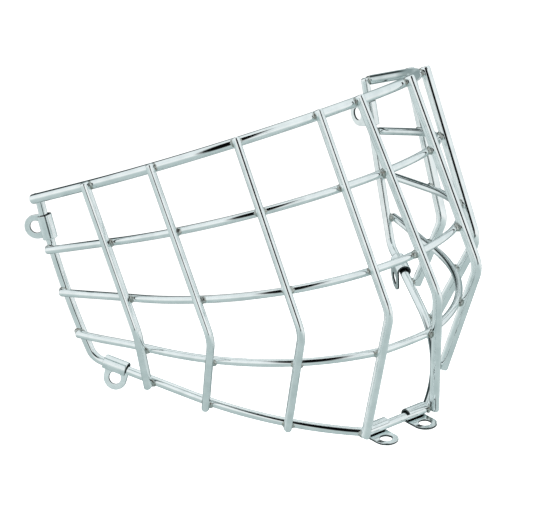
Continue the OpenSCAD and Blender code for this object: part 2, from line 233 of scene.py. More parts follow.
CLIP_PLACES = (
    ClipPlace("right_temple_clip", ClipSeat.TEMPLE, -1, 14.6, 30.0),
    ClipPlace("left_temple_clip", ClipSeat.TEMPLE, 1, 15.6, 6.0),
    ClipPlace("right_jaw_clip", ClipSeat.JAW, -1, 11.4, 18.0),
    ClipPlace("left_jaw_clip", ClipSeat.JAW, 1, 16.5, 10.0),
    ClipPlace("right_chin_clip", ClipSeat.CHIN, -1, 11.7, 57.0),
    ClipPlace("left_chin_clip", ClipSeat.CHIN, 1, 12.0, 57.0),
)


@dataclass(frozen=True)
class FlatCurve:
    """A flat curve from the middle of the face: straight, a near bend, a far bend and straight again.

    Each angle is the heading after its bend, in degrees.
    """

    half: float
    near_radius: float
    near_angle: float
    far_radius: float
    far_angle: float

    def at(self, s: float) -> tuple[float, float]:
        """Follows the curve.

        Args:
            s: The length along the curve.

        Returns:
            The sideways and the rearward distance.
        """
        near, far = radians(self.near_angle), radians(self.far_angle)
        past = s - self.half
        near_length = self.near_radius * near
        first = max(0.0, min(past / self.near_radius, near))
        second = max(near, min(near + (past - near_length) / self.far_radius, far))
        rest = max(0.0, past - near_length - self.far_radius * (far - near))
        side = (min(s, self.half) + self.near_radius * sin(first)
                + self.far_radius * (sin(second) - sin(near)) + rest * cos(far))
        rear = (self.near_radius * (1 - cos(first))
                + self.far_radius * (cos(near) - cos(second)) + rest * sin(far))
        return side, rear


class CageCurves:
    """The curves that the wires of the cage follow, on the left side, in millimetres."""

    # Times the leg's place to which the lines of kinks and feet are carried on past it
    PAST = 1.3
    # Length over which a direction is measured
    SMALL = 0.5
    # Turn of the leg to each side of a weld, between which the leg is taken as straight
    NEAR = radians(1.0)
    # How much finer the bends are stepped, and the fewest points round a kink
    KINK_FINER = 2
    KINK_LEAST = 8
    JAW_FINER = 3

    def __init__(self, sizes: CageSizes) -> None:
        """Works out the seats and directions that several wires share.

        Args:
            sizes: The driving sizes of the cage.
        """
        self.s = sizes
        z = sizes
        self.upright_offset = z.cross_wire / 2 + z.upright_depth / 2 - z.weld_depth
        self.leg_offset = z.cross_wire / 2 + z.perimeter_wire / 2 - z.weld_depth
        self.brow_curve = FlatCurve(0.0, z.front_radius, z.front_angle, z.side_radius, z.end_angle)
        self.rim_curve = FlatCurve(z.chin_half, z.chin_radius, z.chin_angle, z.cheek_radius, z.jaw_angle)
        brow_tilt, rim_tilt = radians(z.brow_tilt), radians(z.rim_tilt)
        self.brow_rear = REAR * cos(brow_tilt) + UP * sin(brow_tilt)
        self.rim_rear = REAR * cos(rim_tilt) + UP * sin(rim_tilt)
        self.rim_normal = UP * cos(rim_tilt) - REAR * sin(rim_tilt)
        self.chin = REAR * z.rim_setback - UP * z.rim_drop
        self.leg_top = z.tops[-1]
        self.outer_top = z.tops[-2]
        self.places = (0.0, *z.tops, self.leg_top * self.PAST)
        self.kink_places = (0.0, *z.kinks, z.kinks[-1] * self.PAST)
        self.foot_places = (0.0, *z.feet, z.feet[-1] + self.leg_top * (self.PAST - 1))
        self.jaw_corner = self.rim_at(z.jaw_at)
        self.jaw_way = unit(self.rim_at(z.jaw_at) - self.rim_at(z.jaw_at - self.SMALL))
        self.leg_cross = self.brow_at(self.leg_top) - self.upper_out(self.leg_top) * self.leg_offset
        span = self.leg_cross - self.jaw_corner
        way = unit(span)
        heading = radians(z.leg_bow_heading)
        bow_side = unit(across(LEFT * cos(heading) + REAR * sin(heading), way))
        turn = 2 * atan(2 * z.leg_bow / np.linalg.norm(span))
        self.leg_start_way = way * cos(turn) + bow_side * sin(turn)
        self.jaw_turn = angle_between(self.jaw_way, self.leg_start_way)
        self.jaw_back = z.jaw_radius * tan(self.jaw_turn / 2)
        self.leg_start = self.jaw_corner + self.leg_start_way * self.jaw_back
        chord = self.leg_cross - self.leg_start
        self.leg_inside = unit(across(chord, self.leg_start_way))
        self.leg_radius = float(chord @ chord) / (2 * float(chord @ self.leg_inside))
        self.leg_angle = 2 * asin(np.linalg.norm(chord) / (2 * self.leg_radius))

    def brow_at(self, s: float) -> Array:
        """Returns the middle of the brow bar at length s from its middle."""
        side, rear = self.brow_curve.at(s)
        return LEFT * side + self.brow_rear * rear

    def kink_at(self, s: float) -> Array:
        """Returns the point of the line of kinks at length s."""
        side, rear = self.brow_curve.at(s)
        return np.array([side * self.s.kink_narrowing, rear + self.s.kink_setback,
                         self.s.kink_rise * rear - self.s.kink_drop])

    def rim_at(self, s: float) -> Array:
        """Returns the middle of the rim wire at length s from the middle of the chin."""
        side, rear = self.rim_curve.at(s)
        return self.chin + LEFT * side + self.rim_rear * rear

    def kink_under(self, s: float) -> Array:
        """Returns the kink line's point that goes with a place along the brow bar."""
        return self.kink_at(float(np.interp(s, self.places, self.kink_places)))

    def rim_under(self, s: float) -> Array:
        """Returns the rim's point that goes with a place along the brow bar."""
        return self.rim_at(float(np.interp(s, self.places, self.foot_places)))

    def upper_out(self, s: float) -> Array:
        """Returns the face's outward direction above the kink."""
        along = self.brow_at(s + self.SMALL) - self.brow_at(s - self.SMALL)
        return unit(np.cross(self.kink_under(s) - self.brow_at(s), along))

    def lower_out(self, s: float) -> Array:
        """Returns the face's outward direction below the kink."""
        along = self.rim_under(s + self.SMALL) - self.rim_under(s - self.SMALL)
        return unit(np.cross(self.rim_under(s) - self.kink_under(s), along))

    def leg_on(self, angle: float) -> Array:
        """Returns the leg's middle after a turn of angle radians from its start."""
        return bent(self.leg_start, self.leg_start_way, self.leg_inside, self.leg_radius, angle)

    def leg_way_on(self, angle: float) -> Array:
        """Returns the leg's direction after a turn of angle radians from its start."""
        return self.leg_start_way * cos(angle) + self.leg_inside * sin(angle)

    @staticmethod
    def plane_share(a: Array, b: Array, wire: CrossWire) -> float:
        """Returns the share of the way from a to b where the line meets a cross wire's plane."""
        return (wire.rise * a[1] - wire.drop - a[2]) / ((b[2] - a[2]) - wire.rise * (b[1] - a[1]))

    def plane_cut(self, a: Array, b: Array, wire: CrossWire) -> Array:
        """Returns the point where the line from a to b meets a cross wire's plane."""
        return a + (b - a) * self.plane_share(a, b, wire)

    def face_point(self, s: float, wire: CrossWire) -> Array:
        """Returns a cross wire's point on the plain face at place s."""
        ends = (self.kink_under(s), self.rim_under(s)) if wire.low else (self.brow_at(s), self.kink_under(s))
        return self.plane_cut(*ends, wire)

    def leg_weld(self, wire: CrossWire) -> tuple[Array, Array, Array]:
        """Finds where a cross wire crosses the leg.

        Args:
            wire: The cross wire.

        Returns:
            The seat of the wire's middle, the outward direction and the wire's way there.
        """
        way = unit(self.face_point(self.leg_top, wire) - self.face_point(self.leg_top - self.SMALL, wire))
        angle = self.leg_angle * self.plane_share(self.leg_start, self.leg_cross, wire)
        at = self.plane_cut(self.leg_on(angle - self.NEAR), self.leg_on(angle + self.NEAR), wire)
        out = unit(np.cross(-self.leg_way_on(angle), way))
        return at + out * self.leg_offset, out, way

    def cross_line(self, wire: CrossWire, step: float) -> Array:
        """Follows the left half of a cross wire from the middle of the face to its end.

        Args:
            wire: The cross wire.
            step: The distance between points along the brow bar.

        Returns:
            The points of its middle line, one row each.
        """
        seat, _, way = self.leg_weld(wire)
        gap = seat - self.face_point(self.leg_top, wire)
        draw = across(gap, way)
        reach = self.leg_top + float(gap @ way) + wire.end
        places = np.linspace(0.0, reach, int(reach / step) + 1)
        drawn = [smooth((s - self.outer_top) / (self.leg_top - self.outer_top)) for s in places]
        return np.array([self.face_point(s, wire) + draw * share for s, share in zip(places, drawn)])

    def upright_line(self, i: int, step: float) -> tuple[Array, Array]:
        """Follows an upright from its top to its foot.

        Args:
            i: The upright's number, counted from the middle.
            step: The distance between points.

        Returns:
            The points of its middle line and the depth direction at each.
        """
        z = self.s
        out_up, out_low = self.upper_out(z.tops[i]), self.lower_out(z.tops[i])
        out_kink = unit(out_up + out_low)
        brow = self.brow_at(z.tops[i]) + out_up * self.upright_offset
        kink = self.kink_at(z.kinks[i]) + out_kink * self.upright_offset / float(out_kink @ out_up)
        foot = self.rim_at(z.feet[i]) + out_low * self.upright_offset
        up_way, low_way = unit(kink - brow), unit(foot - kink)
        angle = angle_between(up_way, low_way)
        back = z.kink_radius * tan(angle / 2)
        axis = unit(np.cross(up_way, low_way))
        inside = np.cross(axis, up_way)
        side_up = unit(across(out_up, up_way))
        top, start = brow - up_way * z.top_end, kink - up_way * back
        end, bottom = kink + low_way * back, foot + low_way * z.foot_end
        upper = np.linspace(0, 1, count_of(np.linalg.norm(start - top), step), endpoint=False)
        points = [top + (start - top) * share for share in upper]
        sides = [side_up] * len(upper)
        bend_count = count_of(z.kink_radius * angle, step, self.KINK_FINER, self.KINK_LEAST)
        for turn in np.linspace(0, angle, bend_count, endpoint=False):
            points.append(bent(start, up_way, inside, z.kink_radius, turn))
            sides.append(spun(side_up, axis, turn))
        lower = np.linspace(0, 1, count_of(np.linalg.norm(bottom - end), step))
        points += [end + (bottom - end) * share for share in lower]
        sides += [spun(side_up, axis, angle)] * len(lower)
        return np.array(points), np.array(sides)

    def perimeter_line(self, step: float) -> Array:
        """Follows the left half of the perimeter wire from the chin to the top of the leg.

        Args:
            step: The distance between points.

        Returns:
            The points of its middle line, one row each.
        """
        z = self.s
        bend_start = self.jaw_corner - self.jaw_way * self.jaw_back
        inside = unit(across(self.leg_start_way, self.jaw_way))
        rim_end = z.jaw_at - self.jaw_back
        points = [self.rim_at(s) for s in np.linspace(0, rim_end, count_of(rim_end, step), endpoint=False)]
        bend_count = count_of(z.jaw_radius * self.jaw_turn, step, self.JAW_FINER)
        points += [bent(bend_start, self.jaw_way, inside, z.jaw_radius, turn)
                   for turn in np.linspace(0, self.jaw_turn, bend_count, endpoint=False)]
        leg_count = count_of(self.leg_radius * self.leg_angle, step)
        points += [self.leg_on(a) for a in np.linspace(0, self.leg_angle, leg_count)]
        points.append(self.leg_cross + self.leg_way_on(self.leg_angle) * z.leg_end)
        return np.array(points)

    def clip_frame(self, place: ClipPlace) -> tuple[Array, Array, Array]:
        """Finds a clip's seat on the left side and its directions.

        Args:
            place: The clip's place.

        Returns:
            The seat on the wire, the tab's direction and the direction from the wire to the tab.
        """
        z = self.s
        if place.seat is ClipSeat.TEMPLE:
            angle = self.leg_angle - place.at / self.leg_radius
            way = self.leg_way_on(angle)
            seat = self.leg_on(angle)
            tab = unit(across(REAR, way))
            inner = np.cross(way, tab)
        elif place.seat is ClipSeat.JAW:
            seat = self.jaw_corner - self.jaw_way * place.at
            tab = -self.rim_normal
            inner = np.cross(self.jaw_way, tab)
        else:
            seat, tab, inner = self.chin + LEFT * place.at, -UP, REAR
        turn = radians(place.turn)
        cosine, sine = cos(turn), sin(turn)
        return seat, tab * cosine - inner * sine, inner * cosine + tab * sine

    def tab_reach(self, place: ClipPlace, axis: Array) -> float:
        """Finds how far a clip's round end reaches along an axis.

        Args:
            place: The clip's place.
            axis: The unit axis.

        Returns:
            The reach from the construction frame's origin.
        """
        z = self.s
        seat, tab, inner = self.clip_frame(place)
        eye = z.perimeter_wire / 2 + z.eye_clearance + z.strap_thickness
        middle = float((seat + tab * z.hole_reach + inner * eye) @ axis)
        return middle + z.strap_width / 2 * float(np.linalg.norm(across(axis, inner)))

    def box_centre(self) -> Array:
        """Finds the middle of the cage's box, which is the row frame's origin.

        Returns:
            The middle in the construction frame.
        """
        z = self.s
        face = [self.kink_at(kink) + self.upper_out(top) * self.upright_offset
                for kink, top in zip(z.kinks, z.tops[:-1])]
        front = min(point[1] for point in face) - z.upright_depth / 2
        rear = max(self.tab_reach(p, REAR) for p in CLIP_PLACES if p.seat is ClipSeat.JAW)
        bottom = -max(self.tab_reach(p, -UP) for p in CLIP_PLACES if p.seat is ClipSeat.CHIN)
        top = self.brow_at(self.leg_top + z.brow_end)[2] + z.brow_wire / 2
        return np.array([0.0, (front + rear) / 2, (top + bottom) / 2])


def add_node(tree: NodeTree, kind: str, values: dict[str, object] | None = None,
             out: str | int = 0) -> NodeSocket | None:
    """Adds a shader node, sets its properties and sets or links its inputs.

    Args:
        tree: The node tree.
        kind: Blender's name for the node's type, after its first word "ShaderNode".
        values: By property, input name or input number, a value or the socket to link. The stops of a
            colour ramp, each a place from 0 to 1 and an sRGB colour, go by the name "stops".
        out: The name or number of the output to return.

    Returns:
        The output's socket, or None where the node has no output.
    """
    node = tree.nodes.new("ShaderNode" + kind)
    for name, value in (values or {}).items():
        if name == "stops":
            set_stops(node.color_ramp.elements, value)
        elif hasattr(node, name):
            setattr(node, name, value)
        elif isinstance(value, NodeSocket):
            tree.links.new(value, node.inputs[int(name) if name.isdigit() else name])
        else:
            node.inputs[int(name) if name.isdigit() else name].default_value = value
    return node.outputs[out] if node.outputs else None


def emptied(owner: Material | World) -> NodeTree:
    """Gives a material or a world an empty node tree.

    Args:
        owner: The material or the world.

    Returns:
        Its node tree.
    """
    owner.use_nodes = True
    owner.node_tree.nodes.clear()
    return owner.node_tree


def set_stops(elements: bpy.types.ColorRampElements, stops: Stops) -> None:
    """Fills a colour ramp.

    Args:
        elements: The ramp's elements.
        stops: Each stop's place from 0 to 1 and its sRGB colour.
    """
    while len(elements) < len(stops):
        elements.new(0.5)
    for element, (at, colour) in zip(elements, stops):
        element.position = at
        element.color = linear(colour)


@dataclass(frozen=True)
class MetalFinish:
    """A bright plated steel surface with the marks that its making leaves. Sizes are in millimetres."""

    name: str
    bright: str
    shaded: str
    roughness: tuple[float, float]
    line_width: float
    line_length: float
    line_bump: float
    cloud_size: float
    peel_size: float
    peel_bump: float
    stain: str = "#8A8070"
    stain_share: float = 0.0

    # Where the noises turn from one look to the other: they gather round the middle of their range
    CLOUD_STOPS = (0.32, 0.6)
    WORN_RANGE = (0.15, 0.4)
    STAIN_RANGE = (0.62, 0.72)
    STAIN_DEPTH = 0.9
    # How many times wider than deep the lines and the peel are
    LINE_FLATNESS = 8
    PEEL_FLATNESS = 10

    def build(self) -> Material:
        """Makes the material from procedural nodes.

        Returns:
            The new material.
        """
        material = bpy.data.materials.new(self.name)
        add = partial(add_node, emptied(material))
        place = add("Attribute", {"attribute_name": PLACE_LAYER}, "Vector")
        solid = add("TexCoord", out="Object")
        # Drawing or stamping leaves lines along the metal, finer in truth and drawn coarse enough to show
        scale = tuple(1 / (size * MM) for size in (self.line_width, self.line_width, self.line_length))
        stretched = add("Mapping", {"Vector": place, "Scale": scale})
        lines = add("TexNoise", {"Vector": stretched, "Scale": 1.0, "Detail": 3.0, "Roughness": 0.6})
        # The plating clouds over slowly from place to place
        clouds = add("TexNoise", {"Vector": solid, "Scale": 1 / (self.cloud_size * MM), "Detail": 4.0,
                                  "Roughness": 0.55})
        peel = add("TexNoise", {"Vector": solid, "Scale": 1 / (self.peel_size * MM), "Detail": 2.0})
        tones = tuple(zip(self.CLOUD_STOPS, (self.shaded, self.bright)))
        colour = add("ValToRGB", {"Fac": clouds, "stops": tones})
        if self.stain_share > 0:
            start, full = self.STAIN_RANGE
            spots = add("MapRange", {"Value": peel, "From Min": start - self.stain_share / 2,
                                     "From Max": full, "To Min": 0.0, "To Max": self.STAIN_DEPTH})
            colour = add("Mix", {"data_type": "RGBA", "0": spots, "6": colour, "7": linear(self.stain)}, 2)
        worn = add("Math", {"operation": "MULTIPLY", "0": lines, "1": clouds})
        (worn_low, worn_high), (smoothest, roughest) = self.WORN_RANGE, self.roughness
        rough = add("MapRange", {"Value": worn, "From Min": worn_low, "From Max": worn_high,
                                 "To Min": smoothest, "To Max": roughest})
        peeled = add("Bump", {"Strength": self.peel_bump, "Height": peel,
                              "Distance": self.peel_size * MM / self.PEEL_FLATNESS})
        lined = add("Bump", {"Strength": self.line_bump, "Height": lines, "Normal": peeled,
                             "Distance": self.line_width * MM / self.LINE_FLATNESS})
        metal = add("BsdfPrincipled", {"Metallic": 1.0, "Base Color": colour, "Roughness": rough,
                                       "Normal": lined})
        add("OutputMaterial", {"Surface": metal})
        return material


# Chrome plate over drawn steel wire: a mirror that shows the studio, with faint lines from the drawing die
CHROMED_WIRE = MetalFinish(
    "chrome_plated_drawn_wire", bright="#F1F6F6", shaded="#E2E9E9", roughness=(0.035, 0.11),
    line_width=0.25, line_length=9.0, line_bump=0.10, cloud_size=7.0, peel_size=1.6, peel_bump=0.05)
# Chrome plate over stamped steel strap: rolled and pressed faces stay greyer and more satin than the wire
CHROMED_STRAP = MetalFinish(
    "chrome_plated_stamped_strap", bright="#EDF3F3", shaded="#DDE5E5", roughness=(0.08, 0.18),
    line_width=0.22, line_length=4.0, line_bump=0.02, cloud_size=4.0, peel_size=2.2, peel_bump=0.02)
# Sheared edge of the strap: the punch tears it, so it is dull and streaked across the thickness; its dark
# grey to near-black colour is painted shade, where the strap's rim falls dark
SHEARED_EDGE_PAINTED_SHADE = MetalFinish(
    "sheared_strap_edge", bright="#565E5E", shaded="#262A2A", roughness=(0.22, 0.42),
    line_width=0.3, line_length=1.2, line_bump=0.25, cloud_size=1.2, peel_size=0.6, peel_bump=0.2)
# Inside of the rolled eye: the plating hardly reaches it, so it stays matt, and its near-black colour is
# painted shade, where the hollow of the roll falls dark
UNPLATED_AND_SHADED_INSIDE = MetalFinish(
    "unplated_rolled_inside", bright="#2A2D2D", shaded="#151717", roughness=(0.35, 0.6),
    line_width=0.3, line_length=3.0, line_bump=0.2, cloud_size=2.0, peel_size=0.7, peel_bump=0.2)
# Plated weld nugget: lumpy, less polished and slightly brown where the plating is thin over the burn
PLATED_WELD = MetalFinish(
    "chrome_plated_weld_nugget", bright="#C9CFCC", shaded="#8F9793", roughness=(0.20, 0.40), line_width=0.3,
    line_length=1.2, line_bump=0.25, cloud_size=1.4, peel_size=0.8, peel_bump=0.3, stain_share=0.3)


def wire_outline(width: float, depth: float, sides: int, bluntness: float = 1.0) -> Curve:
    """Makes the outline of a wire, round or flattened with slightly crowned sides.

    Args:
        width: The width, across the flattened sides where it has them.
        depth: The depth over the round edges.
        sides: The number of points.
        bluntness: The power that, below one, fills an oval out towards its flattened sides.

    Returns:
        A function that gives the outline's points, drawn in by an inset.
    """
    angles = np.linspace(0, 2 * pi, sides, endpoint=False)
    deep, wide = np.cos(angles), np.sign(np.sin(angles)) * np.abs(np.sin(angles)) ** bluntness
    return lambda inset: np.column_stack((deep * (depth / 2 - inset), wide * (width / 2 - inset)))


def ring_faces(rings: int, count: int, first: int = 0) -> Faces:
    """Joins rings of points, each to the next.

    Args:
        rings: The number of rings.
        count: The number of points in a ring.
        first: The number of the first ring's first point.

    Returns:
        The faces between the rings.
    """
    faces = []
    for r in range(rings - 1):
        for k in range(count):
            a, b = first + r * count + k, first + r * count + (k + 1) % count
            faces.append((a, b, b + count, a + count))
    return faces


def turned_over(faces: Faces) -> Faces:
    """Returns the faces seen from their other side, each from the same corner."""
    return [(face[0], *face[:0:-1]) for face in faces]


def new_mesh(name: str, points: Array, faces: Faces, places: Array) -> Object:
    """Makes a smooth-shaded object from points in millimetres in the row frame.

    Args:
        name: The object's name.
        points: The points, one row each.
        faces: The corners of each face.
        places: Each point's place on the metal, in millimetres, for the finish.

    Returns:
        The new object, linked to the scene.
    """
    mesh = bpy.data.meshes.new(name)
    mesh.from_pydata((points * MM).tolist(), [], faces)
    mesh.attributes.new(PLACE_LAYER, "FLOAT_VECTOR", "POINT").data.foreach_set(
        "vector", (places * MM).astype(np.float32).ravel())
    mesh.polygons.foreach_set("use_smooth", [True] * len(mesh.polygons))
    mesh.update()
    return linked(mesh)


def linked(mesh: Mesh) -> Object:
    """Makes an object of a mesh, under the mesh's name.

    Args:
        mesh: The mesh.

    Returns:
        The new object, linked to the scene.
    """
    made = bpy.data.objects.new(mesh.name, mesh)
    bpy.context.scene.collection.objects.link(made)
    return made


@dataclass
class WireMesh:
    """Sweeps an outline along a line, with ground ends, into a mesh in the row frame."""

    name: str
    line: Array
    outline: Curve
    end_round: float
    centre: Array
    sides: Array | None = None
    step: float = 0.9
    round_steps: int = 5
    # Half of the length over which the line's direction is taken
    lean: float = 0.3

    # A direction that no wire starts along, for the first outline of a round wire
    FIRST_SIDE = np.array([0.31, 0.52, 0.79])

    def stations(self, length: float) -> tuple[Array, Array]:
        """Places the rings along the wire.

        Args:
            length: The wire's length.

        Returns:
            Each ring's distance along the wire and how far its outline is drawn in.
        """
        turns = np.linspace(0, pi / 2, self.round_steps + 1)
        near = self.end_round * (1 - np.cos(turns))
        inset = self.end_round * (1 - np.sin(turns))
        middle = np.linspace(self.end_round, length - self.end_round, int(length / self.step))[1:-1]
        distances = np.concatenate((near, middle, length - near[::-1]))
        return distances, np.concatenate((inset, np.zeros(len(middle)), inset[::-1]))

    def build(self) -> Object:
        """Sweeps the outline and keeps each point's place on the wire as an attribute.

        Returns:
            The new object.
        """
        lengths = np.concatenate(([0.0], np.cumsum(np.linalg.norm(np.diff(self.line, axis=0), axis=1))))
        distances, insets = self.stations(lengths[-1])
        middle = resampled(self.line, lengths, distances)
        ways = (resampled(self.line, lengths, distances + self.lean)
                - resampled(self.line, lengths, distances - self.lean))
        ways /= np.linalg.norm(ways, axis=1)[:, None]
        if self.sides is None:
            side = across(self.FIRST_SIDE, ways[0])
            depth_ways = []
            for way in ways:
                side = unit(across(side, way))
                depth_ways.append(side)
        else:
            given = resampled(self.sides, lengths, distances)
            depth_ways = [unit(across(side, way)) for side, way in zip(given, ways)]
        points, places = [], []
        for at, way, side, inset, distance in zip(middle, ways, depth_ways, insets, distances):
            ring = self.outline(inset)
            points.append(at + ring[:, :1] * side + ring[:, 1:] * np.cross(way, side))
            places.append(np.column_stack((ring, np.full(len(ring), distance))))
        count, rings = len(points[0]), len(points)
        points += [middle[:1], middle[-1:]]
        places += [np.array([[0.0, 0.0, end]]) for end in (distances[0], distances[-1])]
        faces = ring_faces(rings, count)
        last_ring, first = (rings - 1) * count, rings * count
        for k in range(count):
            after = (k + 1) % count
            faces += [(first, after, k), (first + 1, last_ring + k, last_ring + after)]
        return new_mesh(self.name, np.vstack(points) - self.centre, faces, np.vstack(places))


def mirrored(points: Array) -> Array:
    """Returns the points on the other side of the face."""
    return points * np.array([-1.0, 1.0, 1.0])


def both_sides(half: Array) -> Array:
    """Returns a whole line from its left half, which starts at the middle of the face."""
    return np.vstack((mirrored(half[:0:-1]), half))


def dress(piece: Object, material: Material | None, body: str, slot: str, *nodes: str) -> None:
    """Gives a piece its finish, its body and the nodes that it stands for.

    Args:
        piece: The object.
        material: Its finish, or None where it has its finishes already.
        body: The body that it rides on.
        slot: Not used.
        nodes: The nodes that it replaces.
    """
    if material is not None:
        piece.data.materials.append(material)
    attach(piece, body)
    if nodes:
        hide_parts(*nodes)
    LOG.info("made %s with %d faces", piece.name, len(piece.data.polygons))


@dataclass
class WeldedWires:
    """The brow bar, the cross wires, the uprights and the perimeter wire."""

    curves: CageCurves
    centre: Array
    finish: Material
    line_step: float = 0.4
    ring_sides: int = 40
    ground_end: float = 0.9
    upright_bluntness: float = 0.85
    upright_names: tuple[str, ...] = ("centre_upright", "front_upright", "side_upright", "outer_upright")

    def build(self) -> None:
        """Builds and dresses every wire."""
        curves, z, step = self.curves, self.curves.s, self.line_step
        reach = curves.leg_top + z.brow_end
        brow = np.array([curves.brow_at(s) for s in np.linspace(0, reach, count_of(reach, step))])
        self.add_round("brow_bar", brow, z.brow_wire)
        for wire in CROSS_WIRES:
            self.add_round(wire.name, curves.cross_line(wire, step), z.cross_wire)
        self.add_round("perimeter_wire", curves.perimeter_line(step), z.perimeter_wire)
        outline = wire_outline(z.upright_width, z.upright_depth, self.ring_sides, self.upright_bluntness)
        for i, name in enumerate(self.upright_names):
            line, ways = curves.upright_line(i, step)
            for side, placed in (("left", np.copy), ("right", mirrored)):
                self.add(f"{side}_{name}", WireMesh(f"{side}_{name}_wire", placed(line), outline,
                                                    self.ground_end, self.centre, placed(ways)))

    def add_round(self, node: str, half: Array, diameter: float) -> None:
        """Builds the round wire that replaces a node, from the left half of its middle line."""
        outline = wire_outline(diameter, diameter, self.ring_sides)
        self.add(node, WireMesh(f"{node}_steel", both_sides(half), outline, self.ground_end, self.centre))

    def add(self, node: str, wire: WireMesh) -> None:
        """Builds and dresses the wire that replaces a node."""
        dress(wire.build(), self.finish, CAGE_BODY, WIRE_SLOT, node)


@dataclass
class Crossing:
    """One weld: the contact point, the outward direction and the way of the row wire."""

    at: Array
    out: Array
    row_way: Array


@dataclass
class WeldNuggets:
    """The squeezed-out nuggets where wires are welded to each other."""

    curves: CageCurves
    centre: Array
    finish: Material
    along_row: float = 3.05
    along_cross: float = 2.1
    thick: float = 1.4
    lump: float = 0.3
    lump_size: float = 1.3
    rings: int = 14
    spokes: int = 28

    def nugget(self, crossing: Crossing) -> tuple[Array, Faces]:
        """Makes one lumpy flattened nugget.

        Args:
            crossing: Where it sits.

        Returns:
            Its points in millimetres and its faces.
        """
        row = unit(across(crossing.row_way, crossing.out))
        cross = np.cross(crossing.out, row)
        points = []
        for r in range(self.rings + 1):
            fall = pi * r / self.rings
            for k in range(self.spokes if 0 < r < self.rings else 1):
                turn = 2 * pi * k / self.spokes
                way = (row * self.along_row * sin(fall) * cos(turn)
                       + cross * self.along_cross * sin(fall) * sin(turn)
                       + crossing.out * self.thick * cos(fall))
                at = crossing.at + way
                swell = self.lump * noise.noise(Vector(at / self.lump_size)) / np.linalg.norm(way)
                points.append(crossing.at + way * (1 + swell))
        faces = turned_over(ring_faces(self.rings - 1, self.spokes, 1))
        last = 1 + (self.rings - 2) * self.spokes
        for k in range(self.spokes):
            after = (k + 1) % self.spokes
            faces += [(0, 1 + k, 1 + after), (len(points) - 1, last + after, last + k)]
        return np.array(points), faces

    def add_row(self, name: str, crossings: list[Crossing]) -> None:
        """Builds the nuggets of one row on both sides as one piece.

        Args:
            name: The piece's name.
            crossings: The welds on the left side.
        """
        points, faces = [], []
        for crossing in crossings:
            made, sides = self.nugget(crossing)
            for placed, turned in ((made, sides), (mirrored(made), [face[::-1] for face in sides])):
                start = len(points) * len(made)
                faces += [tuple(start + i for i in face) for face in turned]
                points.append(placed)
        stacked = np.vstack(points)
        dress(new_mesh(name, stacked - self.centre, faces, stacked), self.finish, CAGE_BODY, WIRE_SLOT)

    def weld(self, along: Curve, s: float, out: Array, contact: float) -> Crossing:
        """Returns the weld at place s of a wire, as far out from its middle as the contact."""
        small = self.curves.SMALL
        return Crossing(along(s) + out * contact, out, along(s + small) - along(s - small))

    def build(self) -> None:
        """Builds the nuggets of every row, of the rim and of the legs."""
        curves, z = self.curves, self.curves.s
        contact = z.cross_wire / 2 - z.weld_depth / 2
        tops = z.tops[:-1]
        self.add_row("brow_bar_welds", [self.weld(curves.brow_at, top, curves.upper_out(top), contact)
                                        for top in tops])
        self.add_row("rim_welds", [self.weld(curves.rim_at, foot, curves.lower_out(top), contact)
                                   for top, foot in zip(tops, z.feet)])
        legs = []
        for wire in CROSS_WIRES:
            along = partial(curves.face_point, wire=wire)
            out_at = curves.lower_out if wire.low else curves.upper_out
            welds = [self.weld(along, top, out_at(top), contact) for top in tops]
            self.add_row(wire.name.replace("_wire", "_welds"), welds)
            seat, out, way = curves.leg_weld(wire)
            legs.append(Crossing(seat - out * contact, out, way))
        legs.append(self.weld(curves.brow_at, curves.leg_top, curves.upper_out(curves.leg_top), -contact))
        self.add_row("leg_welds", legs)


